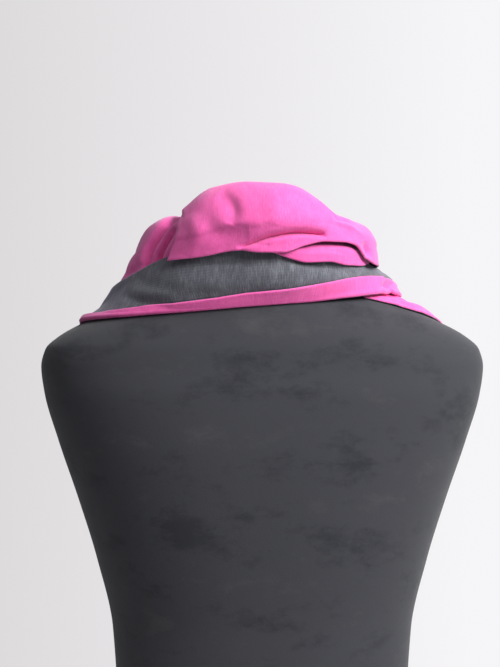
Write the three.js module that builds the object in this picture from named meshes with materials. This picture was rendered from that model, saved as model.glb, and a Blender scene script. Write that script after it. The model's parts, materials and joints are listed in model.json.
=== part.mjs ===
// A two-sided triangle scarf wound round the neck of a limbless dress form.
// One side of the cloth is pink jersey and the other is grey marl jersey.
// Millimetres, +Z up, the form faces -Y and its left side is +X.
// The origin is the middle of the form's flat underside.
// The scarf's stretches are walls of cloth, laid out in polar rows round the neck:
// an angle of 0 is the nape, 90 the wearer's left, 180 the throat and -90 the right.
import * as THREE from "three";

const CLOTH = 2.0; // two layers of jersey, bagged out
const REST_GAP = 0.8; // between the cloth and the form that it rests on
const LAYER_GAP = 0.5; // between two layers of cloth that lie on each other
const SEAM_GAP = 0.8; // between two stretches that run on into each other
const SCARF_PINK = 0xe85aae;
const SCARF_GREY = 0x5c6066;
const FORM_BLACK = 0x2e2f32;

const degrees = THREE.MathUtils.degToRad;
const mix = THREE.MathUtils.lerp;

// ---------------------------------------------------------------- dress form

// A level section of the form: half its width, its reach behind and before the
// neck's axis, and how square it is (2 is an ellipse).
const FORM_SECTIONS = [
  { height: 0, halfWidth: 164, back: 104, front: 92, square: 2.3 },
  { height: 70, halfWidth: 168, back: 112, front: 96, square: 2.3 },
  { height: 150, halfWidth: 152, back: 100, front: 92, square: 2.25 },
  { height: 230, halfWidth: 133, back: 84, front: 86, square: 2.2 },
  { height: 300, halfWidth: 137, back: 88, front: 96, square: 2.2 },
  { height: 365, halfWidth: 152, back: 96, front: 112, square: 2.3 },
  { height: 420, halfWidth: 169, back: 102, front: 120, square: 2.4 },
  { height: 475, halfWidth: 187, back: 105, front: 113, square: 2.5 },
  { height: 515, halfWidth: 198, back: 104, front: 100, square: 2.6 },
  { height: 540, halfWidth: 201, back: 100, front: 89, square: 2.6 },
  { height: 556, halfWidth: 197, back: 98, front: 81, square: 2.5 },
  { height: 568, halfWidth: 184, back: 95, front: 75, square: 2.4 },
  { height: 582, halfWidth: 158, back: 91, front: 69, square: 2.2 },
  { height: 596, halfWidth: 125, back: 87, front: 64, square: 2.1 },
  { height: 608, halfWidth: 96, back: 82, front: 60, square: 2.0 },
  { height: 620, halfWidth: 72, back: 75, front: 57, square: 2.0 },
  { height: 634, halfWidth: 59, back: 67, front: 56, square: 2.0 },
  { height: 655, halfWidth: 54, back: 57, front: 58, square: 2.0 },
  { height: 672, halfWidth: 52, back: 51, front: 59, square: 2.0 },
  { height: 680, halfWidth: 44, back: 43, front: 52, square: 2.0 },
];
const FORM_AROUND = 40;
const FORM_ROW_STEP = 40; // at most, between two rows of facets

// Where a value lies between two rows of a table, by their key column.
function between(table, key, value) {
  const last = table.length - 1;
  let i = 0;
  while (i < last - 1 && table[i + 1][key] < value) i++;
  const step = table[i + 1][key] - table[i][key];
  const share = THREE.MathUtils.clamp((value - table[i][key]) / step, 0, 1);
  return { i, share, step };
}

// One column of a table at a value of its key, on a curve through the rows that
// has no overshoot.
function smoothAt(table, key, column, value) {
  const { i, share, step } = between(table, key, value);
  const slope = (k) => {
    if (k < 0 || k > table.length - 2) return null;
    return (table[k + 1][column] - table[k][column]) / (table[k + 1][key] - table[k][key]);
  };
  const tangent = (before, after) => {
    if (before === null) return after;
    if (after === null) return before;
    return before * after <= 0 ? 0 : (2 * before * after) / (before + after);
  };
  const here = slope(i);
  const start = tangent(slope(i - 1), here) * step;
  const end = tangent(here, slope(i + 1)) * step;
  const t = share;
  return (
    table[i][column] * (2 * t ** 3 - 3 * t ** 2 + 1) +
    start * (t ** 3 - 2 * t ** 2 + t) +
    table[i + 1][column] * (3 * t ** 2 - 2 * t ** 3) +
    end * (t ** 3 - t ** 2)
  );
}

function formSection(height) {
  const read = (column) => smoothAt(FORM_SECTIONS, "height", column, height);
  const back = read("back");
  const front = read("front");
  return {
    halfWidth: read("halfWidth"),
    halfDepth: (back + front) / 2,
    middle: (back - front) / 2,
    square: read("square"),
  };
}

// 0 on the form's surface, negative inside.
function formLevel(x, y, z) {
  const s = formSection(z);
  const across = Math.abs(x / s.halfWidth) ** s.square;
  const deep = Math.abs((y - s.middle) / s.halfDepth) ** s.square;
  return (across + deep) ** (1 / s.square) - 1;
}

// How far the form reaches from the neck's axis in one direction at one height.
function formReach(angle, height) {
  const [sin, cos] = [Math.sin(degrees(angle)), Math.cos(degrees(angle))];
  let [low, high] = [0, 260];
  for (let n = 0; n < 30; n++) {
    const middle = (low + high) / 2;
    if (formLevel(middle * sin, middle * cos, height) < 0) low = middle;
    else high = middle;
  }
  return high;
}

// The form's outward normal near a point.
function formNormal(point) {
  const step = 0.5;
  const slope = (dx, dy, dz) =>
    formLevel(point.x + dx, point.y + dy, point.z + dz) -
    formLevel(point.x - dx, point.y - dy, point.z - dz);
  return new THREE.Vector3(slope(step, 0, 0), slope(0, step, 0), slope(0, 0, step)).normalize();
}

// A point moved along the form's normal until it is lift away from the surface.
function seat(point, lift) {
  const on = point.clone();
  for (let n = 0; n < 14; n++) {
    const normal = formNormal(on);
    const ahead = on.clone().addScaledVector(normal, 0.5);
    const here = formLevel(on.x, on.y, on.z);
    const rate = (formLevel(ahead.x, ahead.y, ahead.z) - here) / 0.5;
    on.addScaledVector(normal, THREE.MathUtils.clamp(-here / rate, -20, 20));
  }
  return on.addScaledVector(formNormal(on), lift);
}

// A point no nearer to the form than lift.
function clearOfForm(point, lift) {
  const ahead = point.clone().addScaledVector(formNormal(point), 0.5);
  const here = formLevel(point.x, point.y, point.z);
  const rate = (formLevel(ahead.x, ahead.y, ahead.z) - here) / 0.5;
  return here / rate < lift ? seat(point, lift) : point;
}

function formGeometry() {
  const top = FORM_SECTIONS.at(-1).height;
  const heights = [0];
  for (const { height } of FORM_SECTIONS.slice(1)) {
    const count = Math.ceil((height - heights.at(-1)) / FORM_ROW_STEP);
    heights.push(...steps(heights.at(-1), height, count).slice(1));
  }
  const rows = heights.map((height) => {
    const s = formSection(height);
    const round = (v) => Math.sign(v) * Math.abs(v) ** (2 / s.square);
    return Array.from({ length: FORM_AROUND }, (_, n) => {
      const turn = (2 * Math.PI * n) / FORM_AROUND;
      const x = s.halfWidth * round(Math.cos(turn));
      return new THREE.Vector3(x, s.middle + s.halfDepth * round(Math.sin(turn)), height);
    });
  });
  const last = rows.length - 1;
  const points = rows.flat();
  const faces = [];
  for (let k = 0; k < last; k++) {
    for (let n = 0; n < FORM_AROUND; n++) {
      const [a, b] = [k * FORM_AROUND + n, k * FORM_AROUND + ((n + 1) % FORM_AROUND)];
      const [c, d] = [b + FORM_AROUND, a + FORM_AROUND];
      faces.push(a, b, c, a, c, d);
    }
  }
  const bottom = points.push(new THREE.Vector3(0, rows[0][0].y, 0)) - 1;
  const cap = points.push(new THREE.Vector3(0, rows[last][0].y, top)) - 1;
  const rim = last * FORM_AROUND;
  for (let n = 0; n < FORM_AROUND; n++) {
    const next = (n + 1) % FORM_AROUND;
    faces.push(bottom, next, n, cap, rim + n, rim + next);
  }
  return geometryOf(points, faces);
}

// --------------------------------------------------------------- cloth walls

function geometryOf(points, faces) {
  const geometry = new THREE.BufferGeometry().setFromPoints(points);
  geometry.setIndex(faces);
  geometry.computeVertexNormals();
  return geometry;
}

// The normal at each point of a grid of points, where rows[i][j] runs along a
// stretch of cloth by i and across it by j.
function normalsOf(rows) {
  const [long, wide] = [rows.length, rows[0].length];
  return rows.map((row, i) =>
    row.map((point, j) => {
      const along = rows[Math.min(i + 1, long - 1)][j].clone().sub(rows[Math.max(i - 1, 0)][j]);
      const across = row[Math.min(j + 1, wide - 1)].clone().sub(row[Math.max(j - 1, 0)]);
      return along.cross(across).normalize();
    }),
  );
}

// A closed wall of cloth on a grid of points, half its thickness to each side.
function wallGeometry(rows, out = normalsOf(rows)) {
  const [long, wide] = [rows.length, rows[0].length];
  const points = [];
  for (const side of [1, -1]) {
    rows.forEach((row, i) =>
      row.forEach((point, j) => points.push(point.clone().addScaledVector(out[i][j], (side * CLOTH) / 2))),
    );
  }
  const at = (side, i, j) => side * long * wide + i * wide + j;
  const faces = [];
  // Each quad is split along its shorter diagonal.
  const quad = (a, b, c, d) => {
    const short = points[a].distanceTo(points[c]) <= points[b].distanceTo(points[d]);
    faces.push(...(short ? [a, b, c, a, c, d] : [a, b, d, b, c, d]));
  };
  for (let i = 0; i < long - 1; i++) {
    for (let j = 0; j < wide - 1; j++) {
      quad(at(0, i, j), at(0, i + 1, j), at(0, i + 1, j + 1), at(0, i, j + 1));
      quad(at(1, i, j), at(1, i, j + 1), at(1, i + 1, j + 1), at(1, i + 1, j));
    }
    quad(at(0, i, 0), at(1, i, 0), at(1, i + 1, 0), at(0, i + 1, 0));
    const edge = wide - 1;
    quad(at(0, i, edge), at(0, i + 1, edge), at(1, i + 1, edge), at(1, i, edge));
  }
  const end = long - 1;
  for (let j = 0; j < wide - 1; j++) {
    quad(at(0, 0, j), at(0, 0, j + 1), at(1, 0, j + 1), at(1, 0, j));
    quad(at(0, end, j), at(1, end, j), at(1, end, j + 1), at(0, end, j + 1));
  }
  return geometryOf(points, faces);
}

const polar = (angle, reach, height) =>
  new THREE.Vector3(reach * Math.sin(degrees(angle)), reach * Math.cos(degrees(angle)), height);

// Even steps from one value to another, both ends included.
const steps = (from, to, count) => Array.from({ length: count + 1 }, (_, k) => mix(from, to, k / count));

// ---------------------------------------------------------------- the cowl

// The cowl is the wide middle of the triangle. Each row is a section across it:
// in is its hidden inner edge, crest its highest fold, belly where it stands out
// furthest, and foot its lower edge, as reach from the neck's axis and height.
// swag is the spacing of its draped folds and deep their depth, and way runs on
// round the neck from the edge that shows behind the left shoulder.
const COWL = [
  { way: 0, inR: 76, inZ: 654, crestR: 90, crestZ: 682, bellyR: 113, bellyZ: 656, footR: 116, footZ: 634, swag: 30, deep: 0 },
  { way: 18, inR: 72, inZ: 654, crestR: 88, crestZ: 695, bellyR: 114, bellyZ: 662, footR: 111, footZ: 637, swag: 30, deep: 0 },
  { way: 36, inR: 69, inZ: 654, crestR: 87, crestZ: 701, bellyR: 115, bellyZ: 667, footR: 108, footZ: 643, swag: 30, deep: 0 },
  { way: 58, inR: 69, inZ: 654, crestR: 87, crestZ: 701, bellyR: 114, bellyZ: 673, footR: 108, footZ: 652, swag: 30, deep: 0 },
  { way: 74, inR: 70, inZ: 650, crestR: 85, crestZ: 690, bellyR: 111, bellyZ: 671, footR: 109, footZ: 655, swag: 30, deep: 0 },
  { way: 90, inR: 71, inZ: 646, crestR: 84, crestZ: 674, bellyR: 108, bellyZ: 665, footR: 110, footZ: 652, swag: 30, deep: 0 },
  { way: 106, inR: 71, inZ: 642, crestR: 85, crestZ: 670, bellyR: 106, bellyZ: 656, footR: 108, footZ: 643, swag: 30, deep: 0 },
  { way: 136, inR: 71, inZ: 632, crestR: 83, crestZ: 664, bellyR: 104, bellyZ: 647, footR: 105, footZ: 631, swag: 30, deep: 0 },
  { way: 160, inR: 74, inZ: 616, crestR: 87, crestZ: 656, bellyR: 115, bellyZ: 627, footR: 121, footZ: 610, swag: 34, deep: 1.5 },
  { way: 184, inR: 76, inZ: 602, crestR: 93, crestZ: 649, bellyR: 126, bellyZ: 608, footR: 0, footZ: 548, swag: 44, deep: 4.5 },
  { way: 206, inR: 78, inZ: 592, crestR: 97, crestZ: 641, bellyR: 129, bellyZ: 594, footR: 0, footZ: 476, swag: 54, deep: 7.5 },
  { way: 226, inR: 80, inZ: 588, crestR: 99, crestZ: 638, bellyR: 131, bellyZ: 586, footR: 0, footZ: 404, swag: 60, deep: 8.5 },
  { way: 246, inR: 78, inZ: 592, crestR: 98, crestZ: 641, bellyR: 129, bellyZ: 594, footR: 0, footZ: 474, swag: 54, deep: 7.5 },
  { way: 266, inR: 76, inZ: 602, crestR: 94, crestZ: 650, bellyR: 126, bellyZ: 608, footR: 0, footZ: 540, swag: 44, deep: 5 },
  { way: 292, inR: 73, inZ: 618, crestR: 87, crestZ: 662, bellyR: 121, bellyZ: 630, footR: 134, footZ: 600, swag: 36, deep: 2 },
  { way: 316, inR: 71, inZ: 632, crestR: 80, crestZ: 670, bellyR: 113, bellyZ: 644, footR: 130, footZ: 606, swag: 30, deep: 0 },
  { way: 340, inR: 75, inZ: 640, crestR: 84, crestZ: 674, bellyR: 109, bellyZ: 646, footR: 120, footZ: 608, swag: 30, deep: 0 },
  { way: 360, inR: 83, inZ: 640, crestR: 91, crestZ: 672, bellyR: 105, bellyZ: 650, footR: 109, footZ: 616, swag: 30, deep: 0 },
  { way: 382, inR: 84, inZ: 640, crestR: 91, crestZ: 664, bellyR: 99, bellyZ: 650, footR: 101, footZ: 622, swag: 30, deep: 0 },
];
const COWL_START = 47; // the angle of the cowl's edge that shows
const SWAG_COUNT = 3; // draped folds below the crest, before they fade out

// Tucks across the cowl, where it is gathered up under its own free edge.
const TUCKS = [
  { way: 346, wide: 6, deep: 6 },
  { way: 355, wide: 4, deep: 4 },
];

function cowlRow(way, across) {
  const angle = COWL_START - way;
  const read = (column) => smoothAt(COWL, "way", column, way);
  const onForm = CLOTH / 2 + REST_GAP;
  const footZ = read("footZ");
  const footR = Math.max(read("footR"), formReach(angle, footZ) + onForm);
  const point = (reach, height) => new THREE.Vector2(reach, height);
  const inner = point(read("inR"), read("inZ"));
  const crest = point(read("crestR"), read("crestZ"));
  const belly = point(read("bellyR"), read("bellyZ"));
  const hang = (share) => {
    const height = mix(belly.y, footZ, share);
    return point(Math.max(mix(belly.x, footR, share), formReach(angle, height) + onForm), height);
  };
  const inside = point(mix(inner.x, crest.x, 0.28), mix(inner.y, crest.y, 0.6));
  const brow = point(mix(crest.x, belly.x, 0.64), mix(crest.y, belly.y, 0.28));
  const curve = new THREE.SplineCurve([inner, inside, crest, brow, belly, hang(0.35), hang(0.7), hang(1)]);
  let tuck = 0;
  for (const t of TUCKS) tuck += t.deep * Math.exp(-(((way - t.way) / t.wide) ** 2) * 4);
  return steps(0, 1, across).map((share) => {
    const at = curve.getPoint(share);
    const out = curve.getTangent(share).rotateAround(new THREE.Vector2(), Math.PI / 2);
    const drop = (crest.y - at.y) / read("swag");
    const outside = share > 2 / 7 ? 1 : 0;
    const fade = Math.min(1, drop, Math.max(0, SWAG_COUNT - drop));
    const wave = outside * read("deep") * Math.max(0, fade) * Math.sin(2 * Math.PI * drop);
    const pull = outside * tuck * Math.sin(Math.PI * share) ** 0.5;
    const moved = at.addScaledVector(out, wave - pull);
    return clearOfForm(polar(angle, moved.x, moved.y), onForm);
  });
}

// The cowl runs on through four stretches of cloth.
const COWL_STRETCHES = [
  { name: "scarf_nape_fold", from: 0, to: 112, rows: 14, across: 16 },
  { name: "scarf_right_side", from: 112, to: 166, rows: 7, across: 16 },
  { name: "scarf_front_cowl", from: 166, to: 286, rows: 16, across: 24 },
  { name: "scarf_left_roll", from: 286, to: 382, rows: 22, across: 14 },
];

function cowlStretch({ from, to, rows, across }) {
  const gap = SEAM_GAP / 2 / degrees(100); // half the seam's gap, as an angle at a reach of 100
  const start = from === COWL[0].way ? from : from + gap;
  const end = to === COWL.at(-1).way ? to : to - gap;
  return wallGeometry(steps(start, end, rows).map((way) => cowlRow(way, across)));
}

// ------------------------------------------------------------ the grey wrap

// One end of the triangle passes behind the neck with its grey side out, and
// over the left shoulder. top is its upper edge, which the cowl covers on the
// right. Its foot stands off the form by lift, over the form's point at footZ.
// turned is how much of the lower edge is turned up, which shows pink.
const WRAP = [
  { angle: -112, topR: 112, topZ: 605, bellyR: 123, bellyZ: 603, footZ: 590, lift: 6, turned: 8 },
  { angle: -90, topR: 108, topZ: 626, bellyR: 119, bellyZ: 620, footZ: 597, lift: 6.5, turned: 10 },
  { angle: -70, topR: 99, topZ: 636, bellyR: 112, bellyZ: 624, footZ: 600, lift: 6.5, turned: 13 },
  { angle: -45, topR: 100, topZ: 642, bellyR: 105, bellyZ: 622, footZ: 600, lift: 3.5, turned: 14 },
  { angle: -20, topR: 99, topZ: 645, bellyR: 101, bellyZ: 619, footZ: 599, lift: 0, turned: 13 },
  { angle: 5, topR: 99, topZ: 648, bellyR: 101, bellyZ: 617, footZ: 596.5, lift: 0, turned: 10 },
  { angle: 28, topR: 104, topZ: 641, bellyR: 108, bellyZ: 614, footZ: 593, lift: 0, turned: 7 },
  { angle: 47, topR: 111, topZ: 636, bellyR: 119, bellyZ: 609, footZ: 589, lift: 0, turned: 5 },
  { angle: 70, topR: 126, topZ: 620, bellyR: 134, bellyZ: 604, footZ: 583, lift: 0, turned: 3.5 },
  { angle: 90, topR: 138, topZ: 610, bellyR: 146, bellyZ: 600, footZ: 579, lift: 0, turned: 3 },
];
const WRAP_ROWS = 26;
const WRAP_ABOVE = 6; // steps across, down to where the edge is turned up
const WRAP_TURNED = 3; // and from there to the lower edge

// A row across the wrap, from its upper edge to its lower one.
function wrapRow(angle) {
  const read = (column) => smoothAt(WRAP, "angle", column, angle);
  const rest = CLOTH / 2 + REST_GAP + read("lift");
  const on = seat(polar(angle, formReach(angle, read("footZ")), read("footZ")), rest);
  const foot = new THREE.Vector2(Math.hypot(on.x, on.y), on.z);
  const top = new THREE.Vector2(read("topR"), read("topZ"));
  const belly = new THREE.Vector2(read("bellyR"), read("bellyZ"));
  const low = new THREE.Vector2(mix(belly.x, foot.x, 0.45), mix(belly.y, foot.y, 0.55));
  const curve = new THREE.SplineCurve([top, belly, low, foot]);
  const turn = 1 - read("turned") / curve.getLength();
  const shares = [...steps(0, turn, WRAP_ABOVE), ...steps(turn, 1, WRAP_TURNED).slice(1)];
  return shares.map((share) => {
    const at = curve.getPointAt(share);
    return clearOfForm(polar(angle, at.x, at.y), rest);
  });
}

const wrapRows = steps(WRAP[0].angle, WRAP.at(-1).angle, WRAP_ROWS).map(wrapRow);

// The turned-up edge lies on the wrap: it is the wrap's own points, moved out.
function turnedEdge() {
  const out = normalsOf(wrapRows);
  const rows = wrapRows.map((row, i) =>
    row.map((point, j) => point.clone().addScaledVector(out[i][j], CLOTH + LAYER_GAP)),
  );
  const turned = (grid) => grid.map((row) => row.slice(WRAP_ABOVE));
  return wallGeometry(turned(rows), turned(out));
}

// ------------------------------------------------------- stretch under the nape fold

// The other end of the triangle comes out under the nape fold on the right.
const UNDER = [
  { angle: -76, topR: 93, topZ: 643, bellyR: 99, bellyZ: 640, footR: 101, footZ: 636.5 },
  { angle: -62, topR: 95, topZ: 646, bellyR: 102.5, bellyZ: 641, footR: 104, footZ: 636 },
  { angle: -40, topR: 97, topZ: 651, bellyR: 106, bellyZ: 644, footR: 106, footZ: 635 },
  { angle: -18, topR: 97, topZ: 653, bellyR: 105, bellyZ: 647, footR: 104, footZ: 639 },
  { angle: 8, topR: 97, topZ: 653, bellyR: 103, bellyZ: 649, footR: 103, footZ: 643 },
];

function underWrap() {
  const rows = steps(UNDER[0].angle, UNDER.at(-1).angle, 14).map((angle) => {
    const read = (column) => smoothAt(UNDER, "angle", column, angle);
    const curve = new THREE.SplineCurve([
      new THREE.Vector2(read("topR"), read("topZ")),
      new THREE.Vector2(read("bellyR"), read("bellyZ")),
      new THREE.Vector2(read("footR"), read("footZ")),
    ]);
    return curve.getPoints(5).map((at) => polar(angle, at.x, at.y));
  });
  return wallGeometry(rows);
}

// --------------------------------------------------------------- the two ends

// Each end lies over a shoulder and hangs before the chest to its tip.
// x, y and z lie near the form, and the row is seated on it. wide is the width
// of the folded end there, and lift how high its folds stand.
const RIGHT_END = [
  { x: -88, y: 52, z: 608, wide: 16, lift: 0.4 },
  { x: -108, y: 38, z: 603, wide: 24, lift: 1.8 },
  { x: -130, y: 20, z: 595, wide: 32, lift: 4.5 },
  { x: -146, y: -6, z: 586, wide: 38, lift: 5 },
  { x: -149, y: -34, z: 575, wide: 40, lift: 5 },
  { x: -146, y: -62, z: 553, wide: 42, lift: 5 },
  { x: -140, y: -82, z: 520, wide: 42, lift: 5 },
  { x: -133, y: -92, z: 484, wide: 36, lift: 4.5 },
  { x: -127, y: -96, z: 448, wide: 24, lift: 3 },
  { x: -122, y: -94, z: 412, wide: 5, lift: 1 },
];
const LEFT_END = [
  { x: 158, y: -2, z: 584, wide: 44, lift: 3 },
  { x: 155, y: -30, z: 574, wide: 48, lift: 4 },
  { x: 150, y: -56, z: 558, wide: 50, lift: 5 },
  { x: 145, y: -78, z: 526, wide: 50, lift: 6 },
  { x: 138, y: -90, z: 488, wide: 46, lift: 5.5 },
  { x: 131, y: -96, z: 452, wide: 36, lift: 4.5 },
  { x: 124, y: -98, z: 416, wide: 21, lift: 3 },
  { x: 119, y: -96, z: 380, wide: 4, lift: 1 },
];
const END_ACROSS = WRAP_ABOVE + WRAP_TURNED; // steps across, the same as the wrap's
const JOIN = 0.22; // the share of an end that eases out of the row before it

// The end is folded lengthwise, so that it shows two rolls side by side. Where a
// row of another stretch is given, the end starts on it.
function endGeometry(table, rows, startRow) {
  const path = new THREE.CatmullRomCurve3(table.map((r) => new THREE.Vector3(r.x, r.y, r.z)));
  const keyed = table.map((r, at) => ({ ...r, at }));
  const grid = steps(0, 1, rows).map((share) => {
    const at = share * (table.length - 1);
    const width = smoothAt(keyed, "at", "wide", at);
    const lift = smoothAt(keyed, "at", "lift", at);
    const middle = seat(path.getPoint(share), 0);
    const across = path.getTangent(share).cross(formNormal(middle)).normalize();
    const ease = startRow ? Math.max(0, 1 - share / JOIN) ** 2 : 0;
    return steps(-0.5, 0.5, END_ACROSS).map((side, j) => {
      const rolls = Math.sin(2 * Math.PI * Math.abs(side)) ** 2;
      const rise = CLOTH / 2 + REST_GAP + lift * rolls;
      const point = seat(middle.clone().addScaledVector(across, side * width), rise);
      return ease ? clearOfForm(point.lerp(startRow[j], ease), CLOTH / 2 + REST_GAP) : point;
    });
  });
  return wallGeometry(grid);
}

function leftEnd() {
  return endGeometry(LEFT_END, 18, wrapRow(WRAP.at(-1).angle + 0.4));
}

// ------------------------------------------------------------------ assembly

const finish = (color, roughness) => new THREE.MeshStandardMaterial({ color, roughness, metalness: 0 });
const pink = finish(SCARF_PINK, 0.9);
const grey = finish(SCARF_GREY, 0.95);
const black = finish(FORM_BLACK, 0.8);

const object = new THREE.Group();

function add(name, geometry, material) {
  const mesh = new THREE.Mesh(geometry, material);
  mesh.name = name;
  object.add(mesh);
}

add("dress_form", formGeometry(), black);
for (const stretch of COWL_STRETCHES) add(stretch.name, cowlStretch(stretch), pink);
add("scarf_under_wrap", underWrap(), pink);
add("scarf_grey_wrap", wallGeometry(wrapRows), grey);
add("scarf_turned_edge", turnedEdge(), pink);
add("scarf_right_end", endGeometry(RIGHT_END, 22, null), pink);
add("scarf_left_end", leftEnd(), grey);

export default object;
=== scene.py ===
"""The looks of a two-sided triangle scarf wound round the neck of a limbless dress form.

The form faces -Y and its left side is +X. Tables are in millimetres and meshes in metres.
Cloth is laid out in polar rows round the neck: an angle of 0 is the nape, 90 the wearer's
left, 180 the throat and -90 the wearer's right.
"""

import json
import logging
import math
from dataclasses import dataclass, field, fields
from enum import Enum

import bpy
import numpy as np
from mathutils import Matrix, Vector, noise

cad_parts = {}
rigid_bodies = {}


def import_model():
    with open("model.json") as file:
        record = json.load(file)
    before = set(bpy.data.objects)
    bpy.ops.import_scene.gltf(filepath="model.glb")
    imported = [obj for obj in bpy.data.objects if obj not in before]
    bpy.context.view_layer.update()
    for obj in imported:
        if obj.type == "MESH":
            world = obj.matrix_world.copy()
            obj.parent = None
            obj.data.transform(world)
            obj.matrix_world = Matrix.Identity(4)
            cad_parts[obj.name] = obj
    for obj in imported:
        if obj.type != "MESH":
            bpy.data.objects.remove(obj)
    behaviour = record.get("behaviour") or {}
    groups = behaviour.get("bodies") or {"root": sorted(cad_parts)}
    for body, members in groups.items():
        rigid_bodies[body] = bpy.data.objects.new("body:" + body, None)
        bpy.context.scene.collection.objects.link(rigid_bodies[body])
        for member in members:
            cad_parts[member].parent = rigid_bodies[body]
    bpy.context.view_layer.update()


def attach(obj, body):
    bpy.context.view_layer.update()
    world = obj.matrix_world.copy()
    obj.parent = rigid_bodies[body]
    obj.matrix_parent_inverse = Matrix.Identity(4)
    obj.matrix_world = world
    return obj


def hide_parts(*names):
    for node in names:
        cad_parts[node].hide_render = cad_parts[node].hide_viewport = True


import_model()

LOG = logging.getLogger("scarf")
MM = 0.001
CLOTH = 2.0  # two layers of jersey, bagged out
REST_GAP = 0.8  # between the cloth and the form that it rests on
LAYER_GAP = 0.5  # between two layers of cloth that lie on each other
LYING = CLOTH / 2 + REST_GAP  # from the form to the middle of the cloth that lies on it
LIP_TURNS = (40, 78)  # the degrees at which the rounding of a cut edge has its points
HEM_WIDTH = 2.6  # how far in from an edge its seam makes it fuller
STEP = 0.5  # how far apart the form's surface is tried, to find its slope
FULL_TURN = 2 * math.pi
RELIEF = 0.0004  # the depth of the knit and of the nap, in metres
FOLD_STEPS = 8  # the short straight runs that a fold's path has for each place on it
FOLD_REACH = 3  # how many times its width a fold is felt at
FOLD_FACING = (0.05, 0.35)  # how squarely cloth has to face a fold's side, to have none or all of it

Array = np.ndarray


class Slot(Enum):
    """The finishes, by the names of the record's material slots."""

    FORM = "form_cover"
    PINK = "pink_jersey"
    GREY = "grey_marl_jersey"


# ------------------------------------------------------------------ tables


class SmoothTable:
    """A table whose columns are read between its rows on curves with no overshoot."""

    def __init__(self, rows: tuple, key: str) -> None:
        """Reads the rows.

        Args:
            rows: Dataclass rows, in the order of their key.
            key: The name of the column that the others are read by.
        """
        names = [f.name for f in fields(rows[0])]
        self.columns = {n: np.array([getattr(r, n) for r in rows], float) for n in names}
        self.keys = self.columns[key]

    def at(self, column: str, values: Array) -> Array:
        """Reads one column at many values of the key.

        Args:
            column: The column's name.
            values: Values of the key.

        Returns:
            The column's value at each.
        """
        x, y = self.keys, self.columns[column]
        step = np.diff(x)
        slope = np.diff(y) / step
        both = slope[:-1] * slope[1:]
        total = np.where(both > 0, slope[:-1] + slope[1:], 1.0)
        inner = np.where(both > 0, 2 * both / total, 0.0)
        tangent = np.concatenate([slope[:1], inner, slope[-1:]])
        i = np.clip(np.searchsorted(x, values, side="right") - 1, 0, len(x) - 2)
        t = np.clip((values - x[i]) / step[i], 0, 1)
        return (
            y[i] * (2 * t**3 - 3 * t**2 + 1)
            + tangent[i] * step[i] * (t**3 - 2 * t**2 + t)
            + y[i + 1] * (3 * t**2 - 2 * t**3)
            + tangent[i + 1] * step[i] * (t**3 - t**2)
        )


def curve_through(keys: Array, shares: Array) -> Array:
    """Points on smooth curves through rows of key points.

    Args:
        keys: Key points, one row of them for each curve.
        shares: Where to read each curve, from 0 to 1.

    Returns:
        A row of points for each curve.
    """
    count = keys.shape[1]
    along = np.clip(shares, 0, 1) * (count - 1)
    i = np.clip(along.astype(int), 0, count - 2)
    t = (along - i)[None, :, None]
    before = keys[:, np.maximum(i - 1, 0)]
    start = keys[:, i]
    end = keys[:, i + 1]
    after = keys[:, np.minimum(i + 2, count - 1)]
    v0 = (end - before) / 2
    v1 = (after - start) / 2
    return (
        (2 * start - 2 * end + v0 + v1) * t**3
        + (-3 * start + 3 * end - 2 * v0 - v1) * t**2
        + v0 * t
        + start
    )


def polar(angle: Array, reach: Array, height: Array) -> Array:
    """Points round the neck's axis.

    Args:
        angle: Degrees from the nape.
        reach: The distance from the axis.
        height: The height.

    Returns:
        One point for each.
    """
    turn = np.radians(angle)
    return np.stack([reach * np.sin(turn), reach * np.cos(turn), height + 0 * reach], axis=-1)


def unit(vectors: Array) -> Array:
    """Vectors brought to a length of 1."""
    return vectors / np.maximum(np.linalg.norm(vectors, axis=-1, keepdims=True), 1e-9)


def grid_normals(grid: Array) -> Array:
    """The outward normal at each point of a grid.

    Args:
        grid: Points, along the cloth by the first index.

    Returns:
        One normal for each point.
    """
    along = np.gradient(grid, axis=0)
    across = np.gradient(grid, axis=1)
    return unit(np.cross(along, across))


def ramp(values: Array, low: float, high: float) -> Array:
    """A smooth step.

    Args:
        values: What it reads.
        low: Where it is still 0.
        high: Where it reaches 1.

    Returns:
        One value from 0 to 1 for each.
    """
    t = np.clip((values - low) / (high - low), 0, 1)
    return t * t * (3 - 2 * t)


def rumple(points: Array, size: float, seed: float) -> Array:
    """Soft unevenness, about -1 to 1, at each point.

    Args:
        points: Points, in millimetres.
        size: The size of one swell, in millimetres.
        seed: Moves the pattern.

    Returns:
        One value for each point.
    """
    flat = points.reshape(-1, 3) / size + seed
    values = [noise.noise(Vector(p)) for p in flat.tolist()]
    return np.array(values).reshape(points.shape[:-1]) * 2


# -------------------------------------------------------------- mesh making


def add_mesh(name: str, verts: Array, faces: list, sides: list, uv: Array | None) -> bpy.types.Object:
    """Makes a smooth-shaded mesh object.

    Args:
        name: The object's name.
        verts: Points, in millimetres.
        faces: Faces, as lists of point numbers.
        sides: The material number of each face.
        uv: A place in the weave for each point, in metres, or None.

    Returns:
        The new object.
    """
    mesh = bpy.data.meshes.new(name)
    mesh.from_pydata((verts * MM).tolist(), [], faces)
    mesh.polygons.foreach_set("material_index", sides)
    mesh.polygons.foreach_set("use_smooth", [True] * len(faces))
    if uv is not None:
        layer = mesh.uv_layers.new(name="weave")
        loops = np.empty(len(mesh.loops), dtype=np.int32)
        mesh.loops.foreach_get("vertex_index", loops)
        layer.data.foreach_set("uv", uv[loops].astype(np.float32).ravel())
    mesh.update()
    mesh.validate()
    piece = bpy.data.objects.new(name, mesh)
    bpy.context.scene.collection.objects.link(piece)
    return piece


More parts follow.
